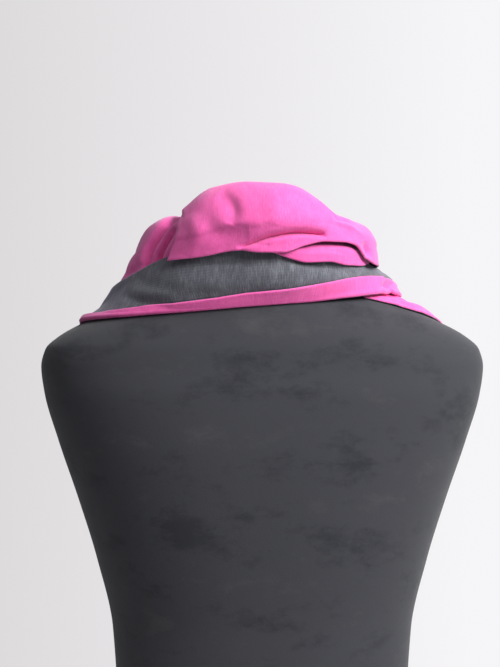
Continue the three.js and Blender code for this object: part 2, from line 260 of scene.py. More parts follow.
def round_off(grid: Array, half: Array) -> tuple[Array, Array]:
    """Adds a rounded lip of cloth at both ends of a grid's first index.

    Args:
        grid: Points in the middle of the cloth.
        half: Half the thickness at each point.

    Returns:
        The wider grid and its half thickness.
    """
    lips, thin = [], []
    for turn in LIP_TURNS:
        sin, cos = math.sin(math.radians(turn)), math.cos(math.radians(turn))
        out0 = unit(grid[0] - grid[1]) * half[0][:, None] * sin
        out1 = unit(grid[-1] - grid[-2]) * half[-1][:, None] * sin
        lips.append((grid[0] + out0, grid[-1] + out1))
        thin.append((half[0] * cos, half[-1] * cos))
    grid = np.concatenate([[lips[1][0], lips[0][0]], grid, [lips[0][1], lips[1][1]]])
    half = np.concatenate([[thin[1][0], thin[0][0]], half, [thin[0][1], thin[1][1]]])
    return grid, half


def repeat_ends(rows: Array) -> Array:
    """A grid with its first and last rows there three times."""
    return np.concatenate([rows[:1], rows[:1], rows, rows[-1:], rows[-1:]])


def weave_places(grid: Array) -> Array:
    """Where each point of a grid lies in the flat cloth.

    Args:
        grid: Points, in millimetres.

    Returns:
        A place along and across for each point, in metres.
    """
    along = np.linalg.norm(np.diff(grid, axis=0), axis=2).mean(axis=1)
    across = np.linalg.norm(np.diff(grid, axis=1), axis=2).mean(axis=0)
    u = np.concatenate([[0], np.cumsum(along)]) * MM
    v = np.concatenate([[0], np.cumsum(across)]) * MM
    return np.stack(np.meshgrid(u, v, indexing="ij"), axis=-1).reshape(-1, 2)


def wall_faces(long: int, wide: int) -> tuple[list, list]:
    """The faces of a closed wall, whose outer grid of points comes before its inner one.

    Args:
        long: How many points there are along it.
        wide: How many there are across it.

    Returns:
        The faces and the material number of each.
    """
    number = np.arange(long * wide).reshape(long, wide)
    back = number + long * wide
    a, b, c, d = number[:-1, :-1], number[1:, :-1], number[1:, 1:], number[:-1, 1:]
    front_faces = np.stack([a, b, c, d], axis=-1).reshape(-1, 4)
    back_faces = np.stack([a, d, c, b], axis=-1).reshape(-1, 4) + long * wide
    rims = []
    for line, other, flip in (
        (number[:, 0], back[:, 0], False),
        (number[:, -1], back[:, -1], True),
        (number[0], back[0], True),
        (number[-1], back[-1], False),
    ):
        quad = np.stack([line[:-1], other[:-1], other[1:], line[1:]], axis=-1)
        rims.append(quad[:, ::-1] if flip else quad)
    rim_faces = np.concatenate(rims)
    faces = np.concatenate([front_faces, back_faces, rim_faces]).tolist()
    sides = [0] * len(front_faces) + [1] * len(back_faces) + [0] * len(rim_faces)
    return faces, sides


def shell(name: str, grid: Array, hem: float) -> bpy.types.Object:
    """A closed wall of cloth on a grid of points, with rounded edges.

    Args:
        name: The object's name.
        grid: Points in the middle of the cloth, along it by the first index.
        hem: How much fuller the sewn edges are than the rest, as a share.

    Returns:
        The object, with material 0 on its outer side and 1 on its inner side.
    """
    normals = grid_normals(grid)
    width = np.cumsum(np.linalg.norm(np.diff(grid, axis=1), axis=2), axis=1)
    width = np.concatenate([np.zeros((len(grid), 1)), width], axis=1)
    edge = np.minimum(width, width[:, -1:] - width)
    half = CLOTH / 2 * (1 + hem * np.exp(-((edge / HEM_WIDTH) ** 2)))
    grid, half = round_off(grid, half)
    grid, half = round_off(grid.transpose(1, 0, 2), half.T)
    grid, half = grid.transpose(1, 0, 2), half.T
    normals = repeat_ends(normals)
    normals = repeat_ends(normals.transpose(1, 0, 2)).transpose(1, 0, 2)

    outer = grid + normals * half[..., None]
    inner = grid - normals * half[..., None]
    verts = np.concatenate([outer.reshape(-1, 3), inner.reshape(-1, 3)])
    uv = weave_places(grid)
    faces, sides = wall_faces(*grid.shape[:2])
    return add_mesh(name, verts, faces, sides, np.concatenate([uv, uv]))


def take_finish(piece: bpy.types.Object, outer: bpy.types.Material, inner: bpy.types.Material) -> None:
    """Gives a piece of cloth its two materials, and reports it.

    Args:
        piece: The piece.
        outer: The material of its outer side.
        inner: The material of its inner side.
    """
    piece.data.materials.append(outer)
    piece.data.materials.append(inner)
    area = sum(face.area for face in piece.data.polygons) / 2
    LOG.info("%s: %d faces, %.4f m2 a side", piece.name, len(piece.data.polygons), area)


class Side(Enum):
    """The sides that folds are placed from, by the way that each one faces."""

    BACK = (0, 1, 0)
    FRONT = (0, -1, 0)
    LEFT = (1, 0, 0)
    RIGHT = (-1, 0, 0)


@dataclass(frozen=True)
class Fold:
    """A soft trough or ridge on one side of the cloth."""

    side: Side
    path: tuple[tuple[float, float], ...]  # x (or y, on the left and right) and z of places on it
    deep: float  # its depth: a ridge is negative
    above: float  # how wide it is on the left of its path
    below: float  # and on the right
    lean: float = 0.5  # where it is deepest, between 0 at its start and 1 at its end
    blunt: float = 1.0  # above 1 it keeps its depth nearer to its ends

    def depth(self, points: Array, normals: Array) -> Array:
        """How deep it is at each point.

        Args:
            points: Points in the middle of the cloth.
            normals: The outward normals there.

        Returns:
            One depth for each point.
        """
        facing = np.array(self.side.value, float)
        level = [1, 2] if facing[0] else [0, 2]
        flat = points[..., level].reshape(-1, 2)
        marks = np.array(self.path, float)
        steps = curve_through(marks[None], np.linspace(0, 1, FOLD_STEPS * len(marks)))[0]
        reach = FOLD_REACH * max(self.above, self.below)
        near = np.all((flat > steps.min(0) - reach) & (flat < steps.max(0) + reach), axis=1)
        spots = np.nonzero(near)[0]
        depth = np.zeros(len(flat))
        if len(spots):
            start, run = steps[:-1], np.diff(steps, axis=0)
            gap = flat[spots, None] - start[None]
            t = np.clip((gap * run).sum(2) / (run * run).sum(1), 0, 1)
            off = gap - t[..., None] * run
            distance = np.linalg.norm(off, axis=2)
            pick = distance.argmin(axis=1)
            row = np.arange(len(spots))
            turn = run[pick, 0] * off[row, pick, 1] - run[pick, 1] * off[row, pick, 0]
            wide = np.where(turn > 0, self.above, self.below)
            at = (pick + t[row, pick]) / len(run)
            rise = np.where(at < self.lean, at / self.lean, (1 - at) / (1 - self.lean))
            fade = 1 - (1 - np.clip(rise, 0, 1)) ** (1 + self.blunt)
            depth[spots] = self.deep * fade * np.exp(-((distance[row, pick] / wide) ** 2))
        depth = depth.reshape(points.shape[:-1])
        return depth * ramp(normals @ facing, *FOLD_FACING) * (points @ facing > 0)


def crease(grid: Array, folds: tuple[Fold, ...]) -> Array:
    """Presses folds into a grid of points.

    Args:
        grid: Points in the middle of the cloth.
        folds: The folds.

    Returns:
        The creased grid.
    """
    normals = grid_normals(soften(grid, rounds=3))
    depth = sum(fold.depth(grid, normals) for fold in folds)
    return grid - normals * depth[..., None]


def soften(grid: Array, rounds: int) -> Array:
    """Smooths a grid of points, leaving its edges where they are.

    Args:
        grid: The points.
        rounds: How many times each is moved towards its neighbours.

    Returns:
        The smoother grid.
    """
    for _ in range(rounds):
        middle = grid.copy()
        middle[1:-1, 1:-1] = (
            grid[:-2, 1:-1]
            + grid[2:, 1:-1]
            + grid[1:-1, :-2]
            + grid[1:-1, 2:]
            + 2 * grid[1:-1, 1:-1]
        ) / 6
        grid = middle
    return grid


# ---------------------------------------------------------------- dress form


@dataclass(frozen=True)
class Level:
    """A level section of the form."""

    height: float
    half_width: float
    back: float  # its reach behind the neck's axis
    front: float
    square: float  # 2 is an ellipse


@dataclass
class DressForm:
    """The limbless form that the scarf rests on."""

    levels: tuple[Level, ...] = (
        Level(0, 164, 104, 92, 2.3),
        Level(70, 168, 112, 96, 2.3),
        Level(150, 152, 100, 92, 2.25),
        Level(230, 133, 84, 86, 2.2),
        Level(300, 137, 88, 96, 2.2),
        Level(365, 152, 96, 112, 2.3),
        Level(420, 169, 102, 120, 2.4),
        Level(475, 187, 105, 113, 2.5),
        Level(515, 198, 104, 100, 2.6),
        Level(540, 201, 100, 89, 2.6),
        Level(556, 197, 98, 81, 2.5),
        Level(568, 184, 95, 75, 2.4),
        Level(582, 158, 91, 69, 2.2),
        Level(596, 125, 87, 64, 2.1),
        Level(608, 96, 82, 60, 2.0),
        Level(620, 72, 75, 57, 2.0),
        Level(634, 59, 67, 56, 2.0),
        Level(655, 54, 57, 58, 2.0),
        Level(672, 52, 51, 59, 2.0),
        Level(680, 44, 43, 52, 2.0),
    )
    around: int = 200
    rows: int = 230
    base_round: float = 4.0  # the rounding of the lower rim
    top_rise: float = 2.2  # the crown of the neck's top
    top_rings: tuple[float, ...] = (0.93, 0.8, 0.55, 0.25)  # the rings on it, as shares of its rim
    crowding: float = 1.5  # how much closer the rows are at the neck than at the hips
    table_rows: int = 2721
    outside: float = 260.0  # further from the axis than any of the form
    halvings: int = 30
    seatings: int = 12
    seat_step: float = 20.0  # the furthest that one seating moves a point
    table: dict[str, Array] = field(default_factory=dict)

    def __post_init__(self) -> None:
        """Reads the sections into a close table."""
        smooth = SmoothTable(self.levels, "height")
        z = np.linspace(0, self.levels[-1].height, self.table_rows)
        back, front = smooth.at("back", z), smooth.at("front", z)
        self.table = {
            "z": z,
            "half_width": smooth.at("half_width", z),
            "half_depth": (back + front) / 2,
            "middle": (back - front) / 2,
            "square": smooth.at("square", z),
        }

    def read(self, column: str, z: Array) -> Array:
        """One column of the form's sections at many heights."""
        return np.interp(z, self.table["z"], self.table[column])

    def level(self, points: Array) -> Array:
        """Which side of the form's surface points are on.

        Args:
            points: The points.

        Returns:
            0 for each on the surface, less inside and more outside.
        """
        x, y, z = points[..., 0], points[..., 1], points[..., 2]
        square = self.read("square", z)
        across = np.abs(x / self.read("half_width", z)) ** square
        deep = np.abs((y - self.read("middle", z)) / self.read("half_depth", z)) ** square
        return (across + deep) ** (1 / square) - 1

    def reach(self, angle: Array, height: Array) -> Array:
        """How far the form reaches from the neck's axis.

        Args:
            angle: Degrees from the nape.
            height: Heights.

        Returns:
            One distance for each.
        """
        low = np.zeros(np.broadcast(angle, height).shape)
        high = low + self.outside
        for _ in range(self.halvings):
            middle = (low + high) / 2
            inside = self.level(polar(angle, middle, height)) < 0
            low, high = np.where(inside, middle, low), np.where(inside, high, middle)
        return high

    def normal(self, points: Array) -> Array:
        """The form's outward normal near points."""
        slopes = [self.level(points + step) - self.level(points - step) for step in np.eye(3) * STEP]
        return unit(np.stack(slopes, axis=-1))

    def seat(self, points: Array, lift: Array | float) -> Array:
        """Moves points to stand off the form's surface.

        Args:
            points: The points.
            lift: How far they are to stand off it.

        Returns:
            The moved points.
        """
        on = points.copy()
        for _ in range(self.seatings):
            normal = self.normal(on)
            here = self.level(on)
            rate = (self.level(on + normal * STEP) - here) / STEP
            on = on + normal * np.clip(-here / rate, -self.seat_step, self.seat_step)[..., None]
        return on + self.normal(on) * np.asarray(lift)[..., None]

    def clear(self, points: Array, lift: Array | float) -> Array:
        """Moves out the points that are too near to the form.

        Args:
            points: The points.
            lift: The nearest that they may be.

        Returns:
            The points, with the near ones moved.
        """
        normal = self.normal(points)
        here = self.level(points)
        rate = (self.level(points + normal * STEP) - here) / STEP
        near = here / rate < lift
        return np.where(near[..., None], self.seat(points, lift), points)

    def build(self, cover: bpy.types.Material) -> None:
        """Builds and dresses the smooth form.

        Args:
            cover: Its material.
        """
        top = self.levels[-1].height
        share = np.linspace(0, 1, self.rows + 1)
        z = top * (1 - (1 - share) ** self.crowding)
        turn = np.linspace(0, 2 * np.pi, self.around, endpoint=False)
        power = 2 / self.read("square", z)[:, None]
        cos = np.sign(np.cos(turn)) * np.abs(np.cos(turn)) ** power
        sin = np.sign(np.sin(turn)) * np.abs(np.sin(turn)) ** power
        tuck = self.base_round * (1 - np.sqrt(1 - (1 - np.clip(z / self.base_round, 0, 1)) ** 2))
        x = (self.read("half_width", z) - tuck)[:, None] * cos
        y = self.read("middle", z)[:, None] + (self.read("half_depth", z) - tuck)[:, None] * sin
        rows = np.stack([x, y, np.broadcast_to(z[:, None], x.shape)], axis=-1)
        centre = np.array([0, self.table["middle"][-1], top])
        rise = np.array([0, 0, self.top_rise])
        caps = [centre + (rows[-1] - centre) * s + rise * (1 - s**2) for s in self.top_rings]
        ends = [[centre + rise], [[0, rows[0, 0, 1], 0]]]
        verts = np.concatenate([rows.reshape(-1, 3), *caps, *ends])
        count = len(rows) + len(caps)
        number = np.arange(count * self.around).reshape(count, self.around)
        after = np.roll(number, -1, axis=1)
        quads = np.stack([number[:-1], after[:-1], after[1:], number[1:]], axis=-1)
        tip, foot = count * self.around, count * self.around + 1
        fan = [[number[-1, n], after[-1, n], tip] for n in range(self.around)]
        fan += [[after[0, n], number[0, n], foot] for n in range(self.around)]
        faces = quads.reshape(-1, 4).tolist() + [[int(v) for v in f] for f in fan]
        piece = add_mesh("form_body", verts, faces, [0] * len(faces), None)
        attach(piece, "root")
        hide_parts("dress_form")
        piece.data.materials.append(cover)
        LOG.info("form_body: %d faces", len(faces))


# --------------------------------------------------------------------- cowl


@dataclass(frozen=True)
class CowlRow:
    """A section across the cowl, as reach from the neck's axis and height."""

    way: float  # on round the neck, from the edge that shows behind the left shoulder
    in_r: float  # its hidden inner edge
    in_z: float
    crest_r: float  # its highest fold
    crest_z: float
    belly_r: float  # where it stands out furthest
    belly_z: float
    foot_r: float  # its lower edge
    foot_z: float
    swag: float  # the spacing of its draped folds
    deep: float  # and their depth


@dataclass
class Cowl:
    """The wide middle of the triangle, from the nape fold round to the left roll."""

    rows: tuple[CowlRow, ...] = (
        CowlRow(0, 76, 654, 90, 682, 113, 656, 116, 634, 30, 0),
        CowlRow(18, 72, 654, 88, 697, 114, 662, 111, 637, 30, 0),
        CowlRow(36, 69, 654, 87, 701, 115, 667, 109, 641.5, 30, 0),
        CowlRow(46, 69, 654, 87, 699.5, 115, 668, 109, 640, 30, 0),
        CowlRow(56, 69, 654, 87, 698, 114, 671, 109, 640, 30, 0),
        CowlRow(66, 69, 653, 86, 695, 113, 672, 110, 646, 30, 0),
        CowlRow(76, 70, 650, 85, 688, 112, 671, 111, 650, 30, 0),
        CowlRow(86, 71, 647, 83, 675, 110, 667, 111, 650, 30, 0),
        CowlRow(93, 71, 645, 84, 673, 109, 664, 110.5, 648, 30, 0),
        CowlRow(102, 71, 643, 85, 671, 108, 658, 110.5, 636, 30, 0),
        CowlRow(112, 71, 640, 85, 669, 107, 655, 109.5, 632, 30, 0),
        CowlRow(136, 71, 632, 83, 664, 104, 647, 105, 631, 30, 0),
        CowlRow(160, 74, 616, 87, 656, 115, 627, 121, 610, 34, 1.5),
        CowlRow(184, 76, 602, 93, 649, 126, 608, 0, 548, 44, 4.5),
        CowlRow(206, 78, 592, 97, 641, 129, 594, 0, 476, 54, 7.5),
        CowlRow(226, 80, 588, 99, 638, 131, 586, 0, 404, 60, 8.5),
        CowlRow(246, 78, 592, 98, 641, 129, 594, 0, 474, 54, 7.5),
        CowlRow(266, 76, 602, 94, 650, 126, 608, 0, 540, 44, 5),
        CowlRow(292, 73, 618, 87, 662, 123, 630, 136, 600, 36, 2),
        CowlRow(316, 71, 632, 82, 671, 118, 646, 134, 606, 30, 0),
        CowlRow(340, 75, 640, 85, 675, 113, 648, 124, 609, 30, 0),
        CowlRow(360, 83, 640, 91, 672, 105, 650, 109, 616, 30, 0),
        CowlRow(382, 84, 640, 91, 664, 99, 650, 101, 622, 30, 0),
    )
    start: float = 47.0  # the angle of the edge that shows
    swag_count: float = 3.0
    close_rows: tuple[tuple[int, int, int], ...] = ((0, 118, 196), (118, 304, 124), (304, 382, 146))
    steps_across: int = 92
    edge_cut: tuple[float, ...] = (0, 0, 0, 4.5, 7, 6, 4, 2.8)  # degrees off the free edge
    cut_fades: float = 44.0  # the way along at which nothing is cut off
    folds: tuple[Fold, ...] = (
        # the nape fold: its long slot low on the right, the lobe over it and its dimple
        Fold(
            Side.BACK, ((21, 641), (4, 648), (-14, 652.5), (-32, 655), (-54, 654)), 6.5, 1.8, 3.4, 0.85, 2.5
        ),
        Fold(Side.BACK, ((14, 655), (-12, 661), (-36, 663), (-60, 661)), -2.2, 6, 6, 0.6),
        Fold(Side.BACK, ((22, 643), (8, 645.5), (-6, 645)), 1.2, 1.6, 2.2, 0.5),
        Fold(Side.BACK, ((38, 689), (29, 683), (25, 673), (29, 663)), 3.2, 8, 6, 0.5),
        Fold(Side.BACK, ((50, 664), (34, 655), (12, 655)), 1.8, 8, 8, 0.5),
        Fold(Side.BACK, ((-30, 690), (-56, 672), (-82, 652)), 1.8, 7, 7, 0.6),
        Fold(Side.BACK, ((-4, 694), (-10, 676), (-8, 662)), -1.6, 8, 8, 0.4),
        Fold(Side.BACK, ((-60, 670), (-76, 668), (-90, 658)), 2.4, 3, 5, 0.4),
        Fold(Side.BACK, ((-88, 650), (-92, 643), (-93, 636)), 4.0, 2.5, 3, 0.5),
        Fold(Side.BACK, ((62, 672), (56, 655), (64, 636)), -1.8, 7, 7, 0.5),
        # the left roll: rolls nested beside the free edge
        Fold(Side.BACK, ((70, 678), (85, 669), (96, 655), (103, 641), (105, 616)), 9.0, 2.4, 5.0, 0.5, 2.5),
        Fold(Side.BACK, ((76, 664), (86, 651), (92, 638), (94, 620)), 7.5, 2.2, 4.0, 0.5, 2.5),
        Fold(Side.BACK, ((108, 634), (116, 626), (124, 622)), 2.6, 4, 5, 0.5),
        # the sides: soft drag lines that run down to the cowl
        Fold(Side.LEFT, ((30, 650), (-10, 636), (-58, 606)), 3.6, 7, 9, 0.5),
        Fold(Side.LEFT, ((20, 628), (-20, 612), (-60, 572)), 3.0, 6, 8, 0.6),
        Fold(Side.LEFT, ((4, 664), (-30, 652), (-70, 630)), 2.4, 5, 7, 0.4),
        Fold(Side.RIGHT, ((34, 652), (-4, 644), (-50, 618)), 3.2, 6, 8, 0.6),
        Fold(Side.RIGHT, ((20, 640), (-16, 626), (-56, 582)), 3.0, 6, 8, 0.6),
        # the front: folds that hang from side to side, uneven
        Fold(Side.FRONT, ((84, 632), (40, 606), (4, 598), (-30, 606), (-60, 618)), 3.0, 6, 9, 0.4),
        Fold(Side.FRONT, ((70, 596), (30, 556), (-6, 548), (-44, 566)), 3.2, 7, 10, 0.5),
        Fold(Side.FRONT, ((46, 522), (12, 494), (-20, 500)), 2.6, 7, 9, 0.5),
        Fold(Side.FRONT, ((30, 648), (-14, 640), (-50, 646)), 2.2, 5, 7, 0.5),
        Fold(Side.FRONT, ((14, 470), (2, 440), (4, 414)), 1.6, 6, 6, 0.5),
    )

    def base_grid(self, form: DressForm) -> Array:
        """Works out the cowl's points from its sections.

        Args:
            form: The form that it rests on.

        Returns:
            The grid of points, from the lower edge to the hidden inner one.
        """
        table = SmoothTable(self.rows, "way")
        runs = [np.linspace(a, b, count, endpoint=False) for a, b, count in self.close_rows]
        ways = np.concatenate([*runs, [self.rows[-1].way]])
        shares = np.linspace(0, 1, self.steps_across)
        angle = self.start - ways
        cut = np.interp(shares, np.linspace(0, 1, len(self.edge_cut)), self.edge_cut)
        turn = angle[:, None] - cut[None] * (1 - ramp(ways, 0, self.cut_fades))[:, None]
        read = {name: table.at(name, ways) for name in table.columns}
        foot_r = np.maximum(read["foot_r"], form.reach(angle, read["foot_z"]) + LYING)

        def mix(a: Array, b: Array, share: float) -> Array:
            """A value between two others."""
            return a + (b - a) * share

        def key(reach: Array, height: Array) -> Array:
            """A key point of the section."""
            return np.stack([reach, height], axis=-1)

        def between(start: str, end: str, out: float, up: float) -> Array:
            """A key point between two of the table's."""
            reach = mix(read[f"{start}_r"], read[f"{end}_r"], out)
            return key(reach, mix(read[f"{start}_z"], read[f"{end}_z"], up))

        def hang(share: float) -> Array:
            """A key point below the belly, clear of the form."""
            height = mix(read["belly_z"], read["foot_z"], share)
            free = mix(read["belly_r"], foot_r, share)
            return key(np.maximum(free, form.reach(angle, height) + LYING), height)

        keys = np.stack(
            [
                key(read["in_r"], read["in_z"]),
                between("in", "crest", 0.28, 0.6),
                key(read["crest_r"], read["crest_z"]),
                between("crest", "belly", 0.64, 0.28),
                key(read["belly_r"], read["belly_z"]),
                hang(0.35),
                hang(0.7),
                hang(1.0),
            ],
            axis=1,
        )
        flat = curve_through(keys, shares)
        out = np.gradient(flat, axis=1)
        out = unit(np.stack([-out[..., 1], out[..., 0]], axis=-1))
        drop = (read["crest_z"][:, None] - flat[..., 1]) / read["swag"][:, None]
        outside = shares > 2 / 7  # beyond the crest, the third of the eight key points
        fade = np.clip(np.minimum(drop, self.swag_count - drop), 0, 1) * outside
        wave = read["deep"][:, None] * fade * np.sin(FULL_TURN * drop)
        flat = flat + out * wave[..., None]
        return polar(turn, flat[..., 0], flat[..., 1])[:, ::-1]

    def build(self, form: DressForm, pink: bpy.types.Material, grey: bpy.types.Material) -> None:
        """Builds and dresses the cowl round the form.

        Args:
            form: The form that it rests on.
            pink: The material of its outer side.
            grey: The material of its inner side.
        """
        grid = soften(form.clear(self.base_grid(form), LYING), rounds=6)
        swell = rumple(grid, 55, 3.1) * 1.2 + rumple(grid, 20, 7.7) * 0.3
        grid = crease(grid + grid_normals(grid) * swell[..., None], self.folds)
        piece = shell("cloth_cowl", form.clear(grid, LYING), hem=0.3)
        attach(piece, "root")
        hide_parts("scarf_nape_fold", "scarf_right_side", "scarf_front_cowl", "scarf_left_roll")
        take_finish(piece, pink, grey)


# ---------------------------------------------------- the wrap and the ends


@dataclass(frozen=True)
class WrapRow:
    """A section across the grey wrap, from its upper edge to its foot on the form."""

    angle: float
    top_r: float
    top_z: float
    belly_r: float
    belly_z: float
    foot_z: float
    lift: float  # how far the foot stands off the form
    turned: float  # how much of the lower edge is turned up


@dataclass(frozen=True)
class EndRow:
    """A place on the way of a hanging end, near the form, and its width and fullness."""

    x: float
    y: float
    z: float
    wide: float
    lift: float


@dataclass
class HangingEnd:
    """One end of the triangle, over a shoulder and down before the chest."""

    rows: tuple[EndRow, ...]
    steps_along: int = 200
    steps_across: int = 44
    join: float = 0.22  # the share of it that eases out of the row before it
    evening: int = 17  # how many rows its width and fullness are evened over

    def grid(self, form: DressForm, first: Array | None) -> Array:
        """Works out the end's points.

        Args:
            form: The form that it rests on.
            first: The row that it starts on, or None.

        Returns:
            The grid of points.
        """
        keys = np.array([[r.x, r.y, r.z] for r in self.rows])
        share = np.linspace(0, 1, self.steps_along)
        path = curve_through(keys[None], share)[0]
        place = share * (len(self.rows) - 1)
        wide = self.even([r.wide for r in self.rows], place)
        lift = self.even([r.lift for r in self.rows], place)
        middle = form.seat(path, 0.0)
        across = unit(np.cross(np.gradient(middle, axis=0), form.normal(middle)))
        side = np.linspace(-0.5, 0.5, self.steps_across)
        rolls = np.sin(FULL_TURN * np.abs(side)) ** 2
        points = middle[:, None] + across[:, None] * (side[None, :, None] * wide[:, None, None])
        points = form.seat(points, LYING + lift[:, None] * rolls[None])
        if first is not None:
            ease = np.clip(1 - share / self.join, 0, 1)[:, None, None] ** 2
            points = points * (1 - ease) + first[None] * ease
            points = form.clear(points, LYING)
        return points

    def even(self, column: list[float], place: Array) -> Array:
        """A column of its table, read at places along it and evened out.

        Args:
            column: The column.
            place: The places, as row numbers.

        Returns:
            One value for each place.
        """
        values = np.interp(place, range(len(column)), column)
        padded = np.pad(values, self.evening // 2, "edge")
        return np.convolve(padded, np.ones(self.evening) / self.evening, "valid")


@dataclass
class LeftArm:
    """The arm that passes behind the neck grey side out, and hangs over the left shoulder."""

    rows: tuple[WrapRow, ...] = (
        WrapRow(-112, 112, 605, 123, 603, 590, 6, 8),
        WrapRow(-90, 108, 626, 119, 620, 597, 6.5, 10),
        WrapRow(-70, 102, 631, 112, 622, 600, 6.5, 13),
        WrapRow(-45, 100, 640, 105, 622, 600, 3.5, 14),
        WrapRow(-20, 99, 645, 101, 619, 599, 0, 13),
        WrapRow(5, 99, 648, 101, 617, 596.5, 0, 10),
        WrapRow(28, 104, 641, 108, 614, 593, 0, 7),
        WrapRow(47, 111, 636, 119, 609, 589, 0, 5),
        WrapRow(70, 126, 620, 134, 604, 583, 0, 3.5),
        WrapRow(90, 138, 610, 146, 600, 579, 0, 3),
    )
    end: HangingEnd = field(
        default_factory=lambda: HangingEnd(
            (
                EndRow(147, -2, 586, 36, 3),
                EndRow(147, -30, 577, 40, 4),
                EndRow(145, -56, 560, 44, 5),
                EndRow(142, -78, 527, 48, 6),
                EndRow(138, -90, 488, 46, 5.5),
                EndRow(131, -96, 452, 36, 4.5),
                EndRow(124, -98, 416, 21, 3),
                EndRow(119, -96, 380, 4, 1),
            )
        )
    )
    steps_along: int = 240
    steps_above: int = 34
    steps_turned: int = 10
    join_rows: int = 3  # rows of the end that lie in the wrap's last one
    edge_rows: int = 26  # how far the turned-up edge goes on over the shoulder
    edge_start: int = 6
    edge_narrows: float = 0.86  # the share of the way at which it starts to narrow
    edge_least: float = 0.25  # and how narrow it gets
    edge_turns: tuple[int, ...] = (-75, -45, -15, 15, 45)  # the degrees of its turn's points
    edge_slack: float = 0.6  # how loosely it is turned
    folds: tuple[Fold, ...] = (
        Fold(Side.BACK, ((58, 629), (40, 630), (16, 631)), 1.6, 2.6, 4, 0.5),
        Fold(Side.BACK, ((112, 616), (96, 611), (70, 606), (44, 608)), 1.8, 5, 7, 0.4),
        Fold(Side.BACK, ((126, 604), (104, 598), (80, 598)), 1.6, 4, 6, 0.4),
        Fold(Side.BACK, ((30, 620), (-8, 622), (-50, 626)), -1.2, 6, 8, 0.5),
        Fold(Side.BACK, ((-20, 634), (-52, 628), (-80, 622)), 1.4, 4, 5, 0.5),
        Fold(Side.BACK, ((-104, 615), (-109, 612), (-115, 609)), 4.6, 4.0, 4.6, 0.5, 2.0),
        Fold(Side.LEFT, ((30, 600), (0, 592), (-40, 574)), 2.0, 6, 8, 0.6),
        Fold(Side.FRONT, ((146, 548), (140, 506), (130, 462)), 2.6, 6, 8, 0.4),
    )

    def wrap_grid(self, form: DressForm) -> Array:
        """Works out the wrap's points behind the neck.

        Args:
            form: The form that it rests on.

        Returns:
            The grid of points, from the upper edge to the foot.
        """
        table = SmoothTable(self.rows, "angle")
        angle = np.linspace(self.rows[0].angle, self.rows[-1].angle, self.steps_along)
        read = {name: table.at(name, angle) for name in table.columns}
        rest = LYING + read["lift"]
        on = form.seat(polar(angle, form.reach(angle, read["foot_z"]), read["foot_z"]), rest)
        foot = np.stack([np.hypot(on[:, 0], on[:, 1]), on[:, 2]], axis=-1)
        top = np.stack([read["top_r"], read["top_z"]], axis=-1)
        belly = np.stack([read["belly_r"], read["belly_z"]], axis=-1)
        low = belly + (foot - belly) * [0.45, 0.55]
        fine = np.linspace(0, 1, 161)
        flat = curve_through(np.stack([top, belly, low, foot], axis=1), fine)
        length = np.cumsum(np.linalg.norm(np.diff(flat, axis=1), axis=2), axis=1)
        length = np.concatenate([np.zeros((len(flat), 1)), length], axis=1)
        turn = (1 - read["turned"] / length[:, -1])[:, None]
        above = np.linspace(0, 1, self.steps_above + 1)[None]
        below = np.linspace(0, 1, self.steps_turned + 1)[None, 1:]
        shares = np.concatenate([turn * above, turn + (1 - turn) * below], axis=1)
        grid = np.empty((len(angle), shares.shape[1], 3))
        for i in range(len(angle)):
            spots = shares[i] * length[i, -1]
            reach = np.interp(spots, length[i], flat[i, :, 0])
            height = np.interp(spots, length[i], flat[i, :, 1])
            grid[i] = polar(np.full(len(spots), angle[i]), reach, height)
        return form.clear(grid, np.broadcast_to(rest[:, None], grid.shape[:2]))

    def build(self, form: DressForm, pink: bpy.types.Material, grey: bpy.types.Material) -> None:
        """Builds and dresses the arm and its turned-up edge.

        Args:
            form: The form that it rests on.
            pink: The material of its inner side, which the turned-up edge shows.
            grey: The material of its outer side.
        """
        wrap = self.wrap_grid(form)
        self.end.steps_across = wrap.shape[1]
        end = self.end.grid(form, wrap[-1][::-1])[:, ::-1]
        grid = np.concatenate([wrap, end[self.join_rows :]])
        shares = np.linspace(0, 1, grid.shape[1])
        grid = crease(soften(grid, rounds=4), self.folds)
        swell = rumple(grid, 42, 11.3) * 0.9 + rumple(grid, 16, 5.2) * 0.3
        away = ramp(shares, 0.02, 0.2) * ramp(1 - shares, 0.0, 0.2)
        grid = form.clear(grid + grid_normals(grid) * (swell * away[None])[..., None], LYING)
        arm = shell("cloth_left_arm", grid, hem=0.2)
        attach(arm, "root")
        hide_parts("scarf_grey_wrap", "scarf_left_end")
        take_finish(arm, grey, pink)
        self.build_edge(grid[: self.steps_along + self.edge_rows], pink, grey)

    def build_edge(self, grid: Array, pink: bpy.types.Material, grey: bpy.types.Material) -> None:
        """Builds and dresses the lower edge, turned up on the outside.

        Args:
            grid: The arm's points behind the neck and on the shoulder.
            pink: The material of its outer side.
            grey: The material of its inner side.
        """
        out = grid_normals(grid)
        off = CLOTH + LAYER_GAP
        lie = (grid + out * off)[:, self.steps_above :]
        down = unit(grid[:, -1] - grid[:, -2])
        turns = []
        for turn in self.edge_turns:
            sin, cos = math.sin(math.radians(turn)), math.cos(math.radians(turn))
            lifted = grid[:, -1] + out[:, -1] * (off / 2 * (1 - sin))
            turns.append(lifted + down * (off / 2 * cos + self.edge_slack))
        tip = np.arange(len(grid)) / len(grid)
        narrow = np.maximum(1 - ramp(tip, self.edge_narrows, 1.0), self.edge_least)
        lie = lie[:, -1:] + (lie - lie[:, -1:]) * narrow[:, None, None]
        edge = np.concatenate([lie, np.stack(turns, axis=1)], axis=1)
        piece = shell("cloth_turned_edge", edge[self.edge_start :], hem=0.15)
        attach(piece, "root")
        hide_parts("scarf_turned_edge")
        take_finish(piece, pink, grey)


@dataclass(frozen=True)
class UnderRow:
    """A section across the stretch under the nape fold."""

    angle: float
    top_r: float
    top_z: float
    belly_r: float
    belly_z: float
    foot_r: float
    foot_z: float


